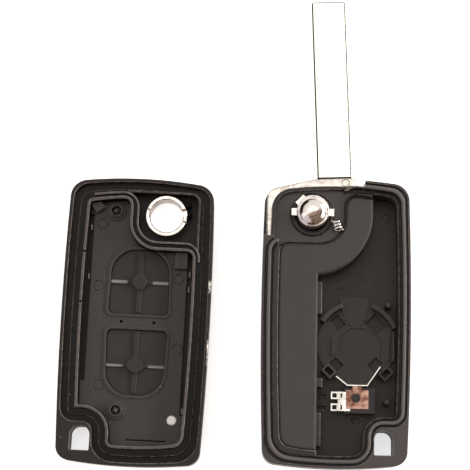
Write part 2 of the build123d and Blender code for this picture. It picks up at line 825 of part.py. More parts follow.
# Outline of a key; up is 1 for the key with its round end towards the pivot, -1 for the other
def key_outline(up, grow):
    half = key_half_width + grow
    base = middle_y + up * (key_from_middle - grow)
    tip = middle_y + up * (key_from_middle + key_length + grow)
    shoulder = tip - up * key_shoulder
    knee = tip - up * key_knee
    left = key_centre_x - half
    right = key_centre_x + half
    upper_left = (left + key_taper, shoulder)
    upper_right = (right - key_taper, shoulder)
    with BuildSketch() as face:
        with BuildLine():
            Line((left, base), (right, base))
            Line((right, base), upper_right)
            ThreePointArc(upper_right, (right - key_knee_inset, knee), (key_centre_x, tip))
            ThreePointArc((key_centre_x, tip), (left + key_knee_inset, knee), upper_left)
            Line(upper_left, (left, base))
        make_face()
        square = face.vertices().group_by(Axis.Y)[0 if up > 0 else -1]
        fillet(square, key_base_radius)
    return face.sketch


# Pivot well of the front half
def well_area(grow):
    right = pivot_from_left - well_side_wall + grow
    top = pivot_from_top - well_top_wall + grow
    with BuildSketch() as face:
        with Locations((right, top)):
            Rectangle(shell_width / 2, shell_width / 2, align=(Align.MAX, Align.MAX))
        fillet(face.vertices().sort_by_distance((right, top, 0))[0], 2.0 + grow)
        add(rim_loop(-1, inner_ridge_inset, inner_ridge_shift, well_drop), mode=Mode.SUBTRACT)
    return face.sketch


# Front half of the shell
ridge_breaks = [(ridge_inset - right_x, middle_y + 17.4), (ridge_inset - right_x, middle_y + 4.3)]
with BuildPart() as front_shell:
    with BuildSketch(front):
        add(outline(-1, 0, top_corner, bottom_corner))
    extrude(amount=front_depth)
    fillet(front_shell.edges().group_by(Axis.Z)[0], face_rounding)
    fillet(front_shell.edges().group_by(Axis.Z)[-1], rim_rounding)
    # groove that takes the bead, with a shelf behind it
    with BuildSketch(front.offset(groove_level)):
        add(rim_loop(-1, front_wall, well=False))
    extrude(amount=front_depth, mode=Mode.SUBTRACT)
    with BuildSketch(front.offset(groove_level)):
        add(rim_loop(-1, groove_inset, well=False))
    extrude(amount=shelf_level - groove_level)
    # ridge round the tray, broken in three places, and a second one round the pivot well
    with BuildSketch(front.offset(shelf_level)):
        add(rim_loop(-1, ridge_inset, ridge_shift, well_drop))
        add(rim_loop(-1, ridge_inner, ridge_shift + ridge_width, well_drop), mode=Mode.SUBTRACT)
        with Locations(*ridge_breaks):
            Rectangle(2.4, 0.7, mode=Mode.SUBTRACT)
    extrude(amount=ridge_level - shelf_level)
    second_inset = inner_ridge_inset + inner_ridge_width
    second_shift = inner_ridge_shift + inner_ridge_width
    with BuildSketch(front.offset(shelf_level)):
        add(rim_loop(-1, inner_ridge_inset, inner_ridge_shift, well_drop))
        add(rim_loop(-1, second_inset, second_shift, well_drop), mode=Mode.SUBTRACT)
        with Locations((-inner_ridge_left, inner_ridge_low)):
            Rectangle(shell_width, shell_width, align=(Align.MIN, Align.MIN), mode=Mode.INTERSECT)
    extrude(amount=ridge_level - shelf_level)
    # pivot well with a low kerb, and the tray for the key plate
    with BuildSketch(front.offset(shelf_level)):
        add(well_area(well_kerb))
    extrude(amount=well_kerb)
    with BuildSketch(front.offset(front_face)):
        add(well_area(0))
    extrude(amount=front_depth, mode=Mode.SUBTRACT)
    with BuildSketch(front.offset(front_face)):
        add(rim_loop(-1, ridge_inner, ridge_shift + ridge_width, well_drop))
    extrude(amount=front_depth, mode=Mode.SUBTRACT)
    # openings for the locking ring, the keys, the lens and the key ring
    with BuildSketch(front):
        Circle(lock_ring_radius - lock_ring_flange + press_gap)
        add(key_outline(1, key_gap - key_flange))
        add(key_outline(-1, key_gap - key_flange))
        with Locations((pivot_from_left - lens_from_side, low_y + lens_from_end)):
            Circle(lens_radius + press_gap)
        add(ring_hole(-1))
    extrude(amount=front_depth, mode=Mode.SUBTRACT)
front_shell.part.label = "front_shell"
export_step(front_shell.part, "parts/front_shell.step")


# Outline of the key plate
def plate_outline():
    shift = ridge_shift + ridge_width + plate_gap
    return rim_loop(-1, plate_edge, shift, well_drop)


# Plate that lines the front half and frames the two keys
bosses = [(12.35 - right_x, pivot_from_top - 8.25), (15.2 - right_x, low_y + 14.15)]
mould_marks = [(-10.1, 25.2), (-10.2, 9.0), (10.5, 11.5), (11.2, -6.5), (-8.8, -16.7)]
with BuildPart() as key_plate:
    with BuildSketch(front.offset(front_face)):
        add(plate_outline())
        with Locations((plate_edge + side_slot_width - right_x, 0)):
            Rectangle(slot_depth, side_slot_end - middle_y, align=(Align.MAX, Align.MAX), mode=Mode.SUBTRACT)
        with Locations((pivot_from_left - plate_edge - far_slot_width, far_slot_top)):
            Rectangle(slot_depth, far_slot_end - middle_y, align=(Align.MIN, Align.MAX), mode=Mode.SUBTRACT)
    extrude(amount=plate_thickness)
    # clip blocks at the upper corners
    with BuildSketch(front.offset(plate_top)):
        with Locations(Location((7.05 - right_x, pivot_from_top - 6.75, 0), 38)):
            Rectangle(2.6, 4.0)
        with Locations((pivot_from_left - 9.75, clip_block_top)):
            Rectangle(3.2, 4.4, align=(Align.MIN, Align.MAX))
        add(plate_outline(), mode=Mode.INTERSECT)
    extrude(amount=plate_thickness)
    # stepped bosses, each with a stake in a round recess
    with BuildSketch(front.offset(plate_top)):
        with Locations(*bosses):
            Circle(boss_radius)
    extrude(amount=boss_step)
    with BuildSketch(front.offset(plate_top)):
        with Locations(*bosses):
            Circle(boss_step_radius)
    extrude(amount=boss_height)
    with BuildSketch(front.offset(plate_top - boss_step)):
        with Locations(*bosses):
            Circle(stake_pit_radius)
            Circle(stake_tip_radius, mode=Mode.SUBTRACT)
    extrude(amount=boss_step + boss_height, mode=Mode.SUBTRACT)
    # raised rim round each key, then the openings
    with BuildSketch(front.offset(plate_top)):
        add(key_outline(1, key_gap + plate_rim_width))
        add(key_outline(-1, key_gap + plate_rim_width))
        add(plate_outline(), mode=Mode.INTERSECT)
    extrude(amount=plate_rim)
    with BuildSketch(front.offset(front_face)):
        add(key_outline(1, key_gap))
        add(key_outline(-1, key_gap))
        with Locations((key_centre_x - 4.25, middle_y), (key_centre_x + 4.2, middle_y)):
            Circle(0.42)
        with Locations((pivot_from_left - lens_from_side, low_y + lens_from_end)):
            Circle(lens_radius + press_gap)
        with Locations((4.3 - middle_x, low_y + 6.8)):
            Rectangle(10.2, 0.35)
    extrude(amount=front_depth, mode=Mode.SUBTRACT)
    # round marks of the mould's ejectors
    with BuildSketch(front.offset(plate_top - 0.15)):
        for x, y in mould_marks:
            with Locations((x - middle_x, middle_y + y)):
                Circle(1.45)
                Circle(1.15, mode=Mode.SUBTRACT)
    extrude(amount=0.15, mode=Mode.SUBTRACT)
key_plate.part.label = "key_plate"
export_step(key_plate.part, "parts/key_plate.step")

# Keys: the stem shows on the outside, the sheet rests on the face inside
sheet_low = front_face + key_rest_gap
sheet_top = sheet_low + key_sheet
nub_y = key_from_middle + key_length / 2
with BuildPart() as unlock_button:
    with BuildSketch(front.offset(key_recess)):
        add(key_outline(1, -key_flange))
    extrude(amount=sheet_low - key_recess)
    with BuildSketch(front.offset(sheet_low)):
        add(key_outline(1, 0))
    extrude(amount=key_sheet)
    # ribs to the four sides and the nub that presses the switch
    with BuildSketch(front.offset(sheet_top)):
        with Locations((key_centre_x, middle_y + nub_y)):
            Rectangle(2 * key_half_width - 0.6, 0.9)
            Rectangle(1.2, key_length - 1.0)
    extrude(amount=key_rib_height)
    with BuildSketch(front.offset(sheet_top)):
        with Locations((key_centre_x, middle_y + nub_y)):
            Rectangle(3.6, 1.8)
            Rectangle(1.9, 3.7)
            Rectangle(2.7, 2.7)
    extrude(amount=key_nub_height)
unlock_button.part.label = "unlock_button"
export_step(unlock_button.part, "parts/unlock_button.step")

with BuildPart() as lock_button:
    with BuildSketch(front.offset(key_recess)):
        add(key_outline(-1, -key_flange))
    extrude(amount=sheet_low - key_recess)
    with BuildSketch(front.offset(sheet_low)):
        add(key_outline(-1, 0))
    extrude(amount=key_sheet)
    # the cross ribs sit a little below the middle of this key
    with BuildSketch(front.offset(sheet_top)):
        with Locations((key_centre_x, middle_y - nub_y)):
            Rectangle(1.2, key_length - 1.0)
        with Locations((key_centre_x, middle_y - nub_y - 0.8)):
            Rectangle(2 * key_half_width - 0.6, 0.9)
    extrude(amount=key_rib_height)
    with BuildSketch(front.offset(sheet_top)):
        with Locations((key_centre_x, middle_y - nub_y - 0.8)):
            Rectangle(4.1, 1.7)
            Rectangle(1.9, 3.5)
            Rectangle(3.0, 2.6)
    extrude(amount=key_nub_height)
lock_button.part.label = "lock_button"
export_step(lock_button.part, "parts/lock_button.step")

# Locking ring round the release button hole, notched for the lugs
with BuildPart() as locking_ring:
    with BuildSketch(front.offset(key_recess)):
        Circle(lock_ring_radius - lock_ring_flange)
    extrude(amount=front_face - key_recess)
    with BuildSketch(front.offset(front_face)):
        Circle(lock_ring_radius)
    extrude(amount=lock_ring_top - front_face)
    with BuildSketch(front):
        Circle(lock_ring_bore)
    extrude(amount=lock_ring_top, mode=Mode.SUBTRACT)
    with BuildSketch(front.offset(lock_ring_top - lug_height)):
        for turn, wide in ((12.7, lug_width), (-16, 0.4), (162, 0.5)):
            with Locations(Location((0, 0, 0), turn)):
                Rectangle(2 * lock_ring_radius, wide, align=(Align.MIN, Align.CENTER))
    extrude(amount=lug_height, mode=Mode.SUBTRACT)
    chamfer(locking_ring.edges().group_by(Axis.Z)[-1].filter_by(GeomType.CIRCLE), 0.2)
locking_ring.part.label = "locking_ring"
export_step(locking_ring.part, "parts/locking_ring.step")

# Light guide of the indicator lamp
with BuildPart() as led_lens:
    with BuildSketch(front.offset(key_recess)):
        with Locations((pivot_from_left - lens_from_side, low_y + lens_from_end)):
            Circle(lens_radius)
    extrude(amount=plate_top + plate_rim - key_recess)
    fillet(led_lens.edges().group_by(Axis.Z)[-1], lens_radius / 4)
led_lens.part.label = "led_lens"
export_step(led_lens.part, "parts/led_lens.step")
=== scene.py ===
import math

import bmesh
import bpy
from mathutils import Matrix, Vector


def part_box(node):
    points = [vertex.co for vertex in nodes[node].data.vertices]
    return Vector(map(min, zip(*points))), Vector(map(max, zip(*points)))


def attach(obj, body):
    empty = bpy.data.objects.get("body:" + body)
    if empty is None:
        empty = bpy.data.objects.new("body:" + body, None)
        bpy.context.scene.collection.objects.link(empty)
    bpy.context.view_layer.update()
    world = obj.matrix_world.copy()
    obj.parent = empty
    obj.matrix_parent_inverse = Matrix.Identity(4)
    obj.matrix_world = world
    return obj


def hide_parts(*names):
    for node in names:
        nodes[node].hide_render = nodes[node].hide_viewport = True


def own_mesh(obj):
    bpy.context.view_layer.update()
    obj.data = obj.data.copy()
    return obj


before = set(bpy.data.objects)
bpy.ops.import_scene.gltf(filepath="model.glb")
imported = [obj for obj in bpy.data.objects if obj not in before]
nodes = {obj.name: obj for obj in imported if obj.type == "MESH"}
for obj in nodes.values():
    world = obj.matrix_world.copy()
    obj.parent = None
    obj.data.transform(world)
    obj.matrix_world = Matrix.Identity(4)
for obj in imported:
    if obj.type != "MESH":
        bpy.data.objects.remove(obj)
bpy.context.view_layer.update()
scene = bpy.context.scene
mm = 0.001  # the frame is in metres, the values below are in millimetres
print("frame loaded,", len(nodes), "pieces")


# Camera: looks down on the opened key, ten degrees off the vertical

cameraSetup = {
    "target": (-19.806, -5.957, 8.6),  # middle of the view, at the height of the rims
    "distance": 430.0,
    "elevation": 80.0,  # degrees above the table, seen from the key ring end
    "roll": 1.2,
    "frameSize": 470.0,
    "focalPixels": 1674.5,
    "sensor": 36.0,
    "nearest": 0.01,  # metres, as is the next
    "furthest": 20,
}


def addCamera(setup):
    roll = math.radians(setup["roll"])
    tilt = math.radians(setup["elevation"])
    right = Vector((math.cos(roll), math.sin(roll), 0))
    away = Vector((-math.sin(roll), math.cos(roll), 0))
    back = math.sin(tilt) * Vector((0, 0, 1)) - math.cos(tilt) * away
    up = math.sin(tilt) * away + math.cos(tilt) * Vector((0, 0, 1))
    data = bpy.data.cameras.new("camera")
    data.sensor_width = setup["sensor"]
    data.lens = setup["sensor"] * setup["focalPixels"] / setup["frameSize"]
    data.clip_start = setup["nearest"]
    data.clip_end = setup["furthest"]
    camera = bpy.data.objects.new("camera", data)
    scene.collection.objects.link(camera)
    place = (Vector(setup["target"]) + setup["distance"] * back) * mm
    turn = Matrix((right, up, back)).transposed().to_4x4()
    camera.matrix_world = Matrix.Translation(place) @ turn
    scene.camera = camera


addCamera(cameraSetup)
print("camera set")


# Helpers for every material

def linearColour(text):  # sRGB hex to the linear values that a shader takes
    values = [int(text[i:i + 2], 16) / 255 for i in (1, 3, 5)]
    return [v / 12.92 if v <= 0.04045 else ((v + 0.055) / 1.055) ** 2.4 for v in values] + [1]


def addNode(tree, kind, links=None, **settings):  # a link is a socket to join or a plain value
    node = tree.nodes.new(kind)
    for name, value in settings.items():
        setattr(node, name, value)
    for name, value in (links or {}).items():
        if isinstance(value, bpy.types.NodeSocket):
            tree.links.new(value, node.inputs[name])
        else:
            node.inputs[name].default_value = value
    return node


def startMaterial(name):
    material = bpy.data.materials.new(name)
    material.use_nodes = True
    tree = material.node_tree
    tree.nodes.clear()
    shader = addNode(tree, "ShaderNodeBsdfPrincipled")
    addNode(tree, "ShaderNodeOutputMaterial", {"Surface": shader.outputs["BSDF"]})
    place = addNode(tree, "ShaderNodeTexCoord").outputs["Object"]
    return material, tree, shader, place


def featuresPerMetre(size):  # noise scale whose features are about this many millimetres
    return 1 / (size * mm)


# Each coat is one or more masks or shares, which are multiplied, and then its colour. Sockets 6
# and 7 of a Mix node are its two colours, and 2 and 3 its two numbers.
def layCoats(tree, base, coats):
    colour = linearColour(base)
    for cover, *others, tint in coats:
        for other in others:
            cover = addNode(tree, "ShaderNodeMath", {0: cover, 1: other},
                            operation="MULTIPLY").outputs[0]
        colour = addNode(tree, "ShaderNodeMix", {0: cover, 6: colour, 7: linearColour(tint)},
                         data_type="RGBA").outputs[2]
    return colour


edgeMasks = {
    "samples": 6,
    "bend": (0.995, 0.86),  # cosine of the normal's bend, from where an edge begins to its full
    "open": (0.55, 0.9),  # how open the place is, from no edge colour to full; the edge colour is wear and painted highlight on plastics, painted highlight on the keys, painted shade on metals
    "closed": (0.64, 0.22),  # and from none to full painted shade in corners and recesses
}


# Rounds the sharp edges to the eye, and returns that normal and masks of the edges and the corners,
# the second from ambient occlusion for painted shade
def softenEdges(tree, radius, reach, bend=edgeMasks["bend"]):
    bevel = addNode(tree, "ShaderNodeBevel", {"Radius": radius * mm}, samples=edgeMasks["samples"])
    flat = addNode(tree, "ShaderNodeNewGeometry").outputs["Normal"]
    turn = addNode(tree, "ShaderNodeVectorMath", {0: bevel.outputs[0], 1: flat},
                   operation="DOT_PRODUCT")
    bent = addNode(tree, "ShaderNodeMapRange", {
        "Value": turn.outputs["Value"], "From Min": bend[0], "From Max": bend[1],
        "To Min": 0, "To Max": 1})
    shade = addNode(tree, "ShaderNodeAmbientOcclusion", {"Distance": reach * mm},
                    samples=edgeMasks["samples"], only_local=True)
    opened, closed = [addNode(tree, "ShaderNodeMapRange", {
        "Value": shade.outputs["AO"], "From Min": edgeMasks[key][0], "From Max": edgeMasks[key][1],
        "To Min": 0, "To Max": 1}).outputs[0] for key in ("open", "closed")]
    edge = addNode(tree, "ShaderNodeMath", {0: bent.outputs[0], 1: opened}, operation="MULTIPLY")
    return bevel.outputs[0], edge.outputs[0], closed


# Moulded plastics

plastics = {
    "shell": {  # ABS moulded, satin: warm black, painted blacker in the gutters as shade, with crisp bright edges that are partly painted highlight
        "name": "absMouldedSatin", "low": "#383433", "high": "#464140", "wornEdgeAndHighlight": "#b3ada8",
        "deep": "#2a2524", "deepBelow": 2.6, "deepAbove": 6.4, "rough": 0.25, "deepRough": 0.4,
        "specular": 0.32, "grain": 0.45, "grainDepth": 0.01, "specks": 0.9, "bevel": 0.5,
        "paintedLightBands": (  # painted light and shade by height: from and to, colour, share: dark gutter and land, lighter rim, bright bead
            (7.9, 8.7, "#1a1615", 0.7), (8.8, 9.2, "#5f5955", 0.15), (9.4, 10.2, "#6a6460", 0.6))},
    "cover": {  # ABS moulded matte: flat even grey with faint flow marks
        "name": "absMouldedMatte", "low": "#3b3736", "high": "#474342", "wornEdgeAndHighlight": "#8a8480",
        "rough": 0.5, "specular": 0.25, "grain": 0.4, "grainDepth": 0.012, "specks": 0.35,
        "bevel": 0.4},
    "front": {  # the same ABS, painted blacker between its wall and ridges as shade, with scuffs on one side painted as bright glints
        "name": "absMouldedSatinFront", "low": "#2c2827", "high": "#3a3635", "wornEdgeAndHighlight": "#b3ada8",
        "deep": "#2c2725", "deepBelow": 1.0, "deepAbove": 4.4, "rough": 0.26, "deepRough": 0.4,
        "specular": 0.17, "grain": 0.45, "grainDepth": 0.01, "specks": 1.2, "bevel": 0.5,
        "paintedLightBands": (  # painted light and shade: black groove and shelf, light ridges, dark rim
            (3.6, 5.7, "#060404", 0.97), (6.0, 6.4, "#5a5451", 0.75), (6.45, 6.8, "#262221", 0.75)),
        "scuffGlints": ((-19.3, 1.3), (-34.9, 4.8)),  # middle and half length along the wall
        "scuffGlint": "#ece8e2", "scuffRight": -26.4, "scuffAbove": 4.6, "scuffFade": 1.2,
        "scuffEnds": 0.6, "scuffSize": 0.7, "scuffStretch": 0.5, "scuffBroken": (0.45, 0.56)},
    "plate": {  # ABS moulded with a fine texture: soft grey black
        "name": "absMouldedPlate", "low": "#322f2d", "high": "#403c3a", "wornEdgeAndHighlight": "#7d7874",
        "rough": 0.44, "specular": 0.3, "grain": 0.4, "grainDepth": 0.014, "specks": 0.9,
        "bevel": 0.28},
    "holder": {  # glass-filled nylon, moulded: greyer and drier than the shell
        "name": "nylonMoulded", "low": "#2d2b2a", "high": "#3b3837", "wornEdgeAndHighlight": "#8a8580",
        "rough": 0.4, "specular": 0.34, "grain": 0.35, "grainDepth": 0.012, "specks": 0.5,
        "bevel": 0.26},
    "block": {  # PBT, moulded: smooth, slightly purple black
        "name": "pbtMoulded", "low": "#2a2426", "high": "#393235", "wornEdgeAndHighlight": "#8a8387",
        "rough": 0.38, "specular": 0.35, "grain": 0.3, "grainDepth": 0.008, "specks": 0.4,
        "bevel": 0.2},
    "hub": {  # acetal, moulded: grey, with a ragged black ring painted next to the button as the shade of the gap round it
        "name": "acetalMoulded", "low": "#393535", "high": "#484343", "wornEdgeAndHighlight": "#7d7874",
        "rough": 0.34, "specular": 0.36, "grain": 0.3, "grainDepth": 0.006, "specks": 6,
        "bevel": 0.12, "gapShade": "#0a0807", "gapShadeWithin": 4.75, "gapShadeEdge": 0.35,
        "gapShadeRagged": 0.8},
    "hook": {  # ABS, moulded: pale grey, partly rubbed where the two halves snap together, partly painted as glints in the dark side slots
        "name": "absMouldedPaintedGlint", "low": "#6b6662", "high": "#a8a39e", "wornEdgeAndHighlight": "#cfcac4",
        "rough": 0.2, "specular": 0.5, "grain": 0.3, "grainDepth": 0.006, "specks": 0.5,
        "bevel": 0.1},
    "notchShadow": {  # ABS, moulded, dull black: painted near black as the shadow of the notch by the ring, a hole to the eye
        "name": "absMouldedShadowBlack", "low": "#080606", "high": "#0e0b0b", "wornEdgeAndHighlight": "#3c3835",
        "rough": 0.6, "specular": 0.1, "grain": 0.3, "grainDepth": 0.006, "specks": 1.5,
        "bevel": 0.12},
    "cap": {  # ABS, melted over and glossy: catches the light on its lobes
        "name": "absMelted", "low": "#3a3633", "high": "#5a5552", "wornEdgeAndHighlight": "#a09a95",
        "rough": 0.12, "specular": 0.6, "grain": 0.3, "grainDepth": 0.004, "specks": 0.5,
        "bevel": 0.05},
}
plasticSurface = {  # what all of them share, sizes in millimetres
    "edgeReach": 1.6, "edgeBend": (0.95, 0.78), "index": 1.5,
    "cloudSize": 9.0, "smoother": 0.05, "rougher": 0.06,  # slow change of colour and shine
    "rubSize": 1.6, "rubLeast": 0.2, "rubMost": 0.85,  # how unevenly the pale edges show: rubbed wear and painted highlight
    # painted shade: a dark colour laid in corners and recesses by the occlusion mask
    "cornerShade": "#0e0808", "cornerShadeShare": 0.9,
    "dust": "#9c9792", "dustShare": 0.6, "dustSpacing": 1.9, "dustSize": (0.12, 0.05),
    "dusty": 0.1,  # share of the dust places in use, for each unit of specks
}


def gapShadeMask(tree, place, rub, look):  # a ragged ring round the pivot, which is at the origin
    flat = addNode(tree, "ShaderNodeVectorMath", {0: place, 1: (1, 1, 0)}, operation="MULTIPLY")
    reach = addNode(tree, "ShaderNodeVectorMath", {0: flat.outputs[0]}, operation="LENGTH")
    ragged = addNode(tree, "ShaderNodeMath", {
        0: rub, 1: look["gapShadeRagged"] * mm, 2: reach.outputs["Value"]}, operation="MULTIPLY_ADD")
    inner = (look["gapShadeWithin"] + look["gapShadeRagged"] / 2) * mm  # the noise is a half on average
    return addNode(tree, "ShaderNodeMapRange", {
        "Value": ragged.outputs[0], "From Min": inner + look["gapShadeEdge"] * mm, "From Max": inner,
        "To Min": 0, "To Max": 1}).outputs[0]


def dustMasks(tree, place, specks):  # about 0.2 mm across and a few millimetres apart
    dots = addNode(tree, "ShaderNodeTexVoronoi", {
        "Vector": place, "Scale": featuresPerMetre(plasticSurface["dustSpacing"])})
    widest, full = plasticSurface["dustSize"]
    small = addNode(tree, "ShaderNodeMapRange", {
        "Value": dots.outputs["Distance"], "From Min": widest, "From Max": full,
        "To Min": 0, "To Max": 1})
    chance = addNode(tree, "ShaderNodeSeparateXYZ", {0: dots.outputs["Color"]}).outputs[0]
    few = addNode(tree, "ShaderNodeMath", {0: chance, 1: 1 - plasticSurface["dusty"] * specks},
                  operation="GREATER_THAN")
    return small.outputs[0], few.outputs[0]


def scuffGlintCoats(tree, place, look):  # scrapes at the top of the outer wall, painted as bright glints, fading down and along
    parts = addNode(tree, "ShaderNodeSeparateXYZ", {0: place})
    outer = addNode(tree, "ShaderNodeMath", {0: parts.outputs["X"], 1: look["scuffRight"] * mm},
                    operation="GREATER_THAN")
    upward = addNode(tree, "ShaderNodeMapRange", {
        "Value": parts.outputs["Z"], "From Min": look["scuffAbove"] * mm,
        "From Max": (look["scuffAbove"] + look["scuffFade"]) * mm, "To Min": 0, "To Max": 1})
    longwise = addNode(tree, "ShaderNodeMapping", {
        "Vector": place, "Scale": (1, look["scuffStretch"], 1)})
    scrapes = addNode(tree, "ShaderNodeTexNoise", {
        "Vector": longwise.outputs[0], "Scale": featuresPerMetre(look["scuffSize"]),
        "Detail": 4, "Roughness": 0.75})
    least, full = look["scuffBroken"]
    broken = addNode(tree, "ShaderNodeMapRange", {
        "Value": scrapes.outputs["Fac"], "From Min": least, "From Max": full,
        "To Min": 0, "To Max": 1})
    coats = []
    for middle, half in look["scuffGlints"]:
        offset = addNode(tree, "ShaderNodeMath", {0: parts.outputs["Y"], 1: -middle * mm},
                         operation="ADD")
        away = addNode(tree, "ShaderNodeMath", {0: offset.outputs[0]}, operation="ABSOLUTE")
        along = addNode(tree, "ShaderNodeMapRange", {
            "Value": away.outputs[0], "From Min": (half + look["scuffEnds"]) * mm,
            "From Max": half / 2 * mm, "To Min": 0, "To Max": 1})
        coats.append((outer.outputs[0], upward.outputs[0], along.outputs[0], broken.outputs[0],
                      look["scuffGlint"]))
    return coats


def mouldedPlastic(look):
    common = plasticSurface
    material, tree, shader, place = startMaterial(look["name"])
    normal, edge, shadedCorner = softenEdges(tree, look["bevel"], common["edgeReach"], common["edgeBend"])
    clouds = addNode(tree, "ShaderNodeTexNoise", {
        "Vector": place, "Scale": featuresPerMetre(common["cloudSize"]), "Detail": 4,
        "Roughness": 0.6}).outputs["Fac"]
    rough = addNode(tree, "ShaderNodeMapRange", {
        "Value": clouds, "From Min": 0.3, "From Max": 0.7,
        "To Min": look["rough"] - common["smoother"], "To Max": look["rough"] + common["rougher"]
    }).outputs[0]
    coats = [(clouds, look["high"])]
    height = addNode(tree, "ShaderNodeSeparateXYZ", {0: place}).outputs["Z"]
    if "deep" in look:  # low down it is painted blacker as shade, and made rougher so that it takes less shine
        deep = addNode(tree, "ShaderNodeMapRange", {
            "Value": height, "From Min": look["deepBelow"] * mm, "From Max": look["deepAbove"] * mm,
            "To Min": 1, "To Max": 0}).outputs[0]
        coats.append((deep, look["deep"]))
        rough = addNode(tree, "ShaderNodeMix", {0: deep, 2: rough, 3: look["deepRough"]}).outputs[0]
    for lowest, highest, tint, share in look.get("paintedLightBands", ()):  # painted light and shade: each step gets its own tone by height
        inBand = addNode(tree, "ShaderNodeMath", {
            0: height, 1: (lowest + highest) / 2 * mm, 2: (highest - lowest) / 2 * mm},
            operation="COMPARE")
        coats.append((inBand.outputs[0], share, tint))
    rub = addNode(tree, "ShaderNodeTexNoise", {
        "Vector": place, "Scale": featuresPerMetre(common["rubSize"]), "Detail": 5,
        "Roughness": 0.7}).outputs["Fac"]
    if "gapShade" in look:
        # painted shade of the gap round the button
        coats.append((gapShadeMask(tree, place, rub, look), look["gapShade"]))
    wearAndHighlight = addNode(tree, "ShaderNodeMapRange", {
        "Value": rub, "From Min": 0.4, "From Max": 0.6,
        "To Min": common["rubLeast"], "To Max": common["rubMost"]})
    # pale edges: partly rubbed wear, partly painted highlight
    coats.append((edge, wearAndHighlight.outputs[0], look["wornEdgeAndHighlight"]))
    # painted shade in corners and recesses
    coats.append((shadedCorner, common["cornerShadeShare"], common["cornerShade"]))
    coats.append((*dustMasks(tree, place, look["specks"]), common["dustShare"], common["dust"]))
    # real scuffs, painted as bright glints on the outer wall
    if "scuffGlints" in look:
        coats += scuffGlintCoats(tree, place, look)
    tree.links.new(layCoats(tree, look["low"], coats), shader.inputs["Base Color"])
    tree.links.new(rough, shader.inputs["Roughness"])
    shader.inputs["IOR"].default_value = common["index"]
    shader.inputs["Specular IOR Level"].default_value = look["specular"]
    # the spark-eroded grain is about 0.05 mm, drawn coarser so that it shows
    grain = addNode(tree, "ShaderNodeTexNoise", {
        "Vector": place, "Scale": featuresPerMetre(look["grain"]), "Detail": 3, "Roughness": 0.65})
    bump = addNode(tree, "ShaderNodeBump", {
        "Strength": 1, "Distance": look["grainDepth"] * mm, "Height": grain.outputs["Fac"],
        "Normal": normal})
    tree.links.new(bump.outputs[0], shader.inputs["Normal"])
    return material


# Silicone rubber of the two keys: soft, slightly brown black with a dry sheen

rubberKeys = {
    "low": "#241f1e", "high": "#2f2a28", "cloudSize": 5, "rough": 0.62, "index": 1.43,
    "sheen": 0.08, "grain": 0.5, "grainDepth": 0.01, "bevel": 0.18, "edgeReach": 1.5,
    # rim: a paler colour painted on the edges as highlight
    "rim": "#6b6561", "rimShare": 0.55, "cornerShade": "#070605", "cornerShadeShare": 0.5,
    "middles": {"Upper": (-44.1, -17.97), "Lower": (-44.68, -39.78)},  # where the ribs cross
    "turn": -1.6,
    "wearAndHighlight": "#7d7976", "ribHighlightFrom": 3.3, "ribHalf": 0.42, "ribFloor": 2.6,  # painted highlight on the outer ends of the ribs
}


def mouldedSilicone(look, which):
    material, tree, shader, place = startMaterial("siliconeMoulded" + which)
    normal, edge, shadedCorner = softenEdges(tree, look["bevel"], look["edgeReach"])
    clouds = addNode(tree, "ShaderNodeTexNoise", {
        "Vector": place, "Scale": featuresPerMetre(look["cloudSize"]), "Detail": 4,
        "Roughness": 0.6})
    turned = addNode(tree, "ShaderNodeMapping", {
        "Vector": place, "Location": (*[v * mm for v in look["middles"][which]], 0),
        "Rotation": (0, 0, math.radians(look["turn"]))}, vector_type="TEXTURE")
    parts = addNode(tree, "ShaderNodeSeparateXYZ", {0: turned.outputs[0]})
    tests = []
    for axis, kind, limit in (("X", "GREATER_THAN", look["ribHighlightFrom"]),
                              ("Y", "LESS_THAN", look["ribHalf"]),
                              ("Z", "GREATER_THAN", look["ribFloor"])):
        away = addNode(tree, "ShaderNodeMath", {0: parts.outputs[axis]}, operation="ABSOLUTE")
        tests.append(addNode(tree, "ShaderNodeMath", {0: away.outputs[0], 1: limit * mm},
                             operation=kind).outputs[0])
    # painted highlight on the edges and the rib ends, painted shade in the corners
    colour = layCoats(tree, look["low"], [
        (clouds.outputs["Fac"], look["high"]),
        (edge, look["rimShare"], look["rim"]),
        (shadedCorner, look["cornerShadeShare"], look["cornerShade"]),
        (*tests, look["wearAndHighlight"])])
    tree.links.new(colour, shader.inputs["Base Color"])
    shader.inputs["Roughness"].default_value = look["rough"]
    shader.inputs["IOR"].default_value = look["index"]
    shader.inputs["Sheen Weight"].default_value = look["sheen"]
    grain = addNode(tree, "ShaderNodeTexNoise", {
        "Vector": place, "Scale": featuresPerMetre(look["grain"]), "Detail": 3, "Roughness": 0.6})
    bump = addNode(tree, "ShaderNodeBump", {
        "Strength": 1, "Distance": look["grainDepth"] * mm, "Height": grain.outputs["Fac"],
        "Normal": normal})
    tree.links.new(bump.outputs[0], shader.inputs["Normal"])
    return material


# Metals

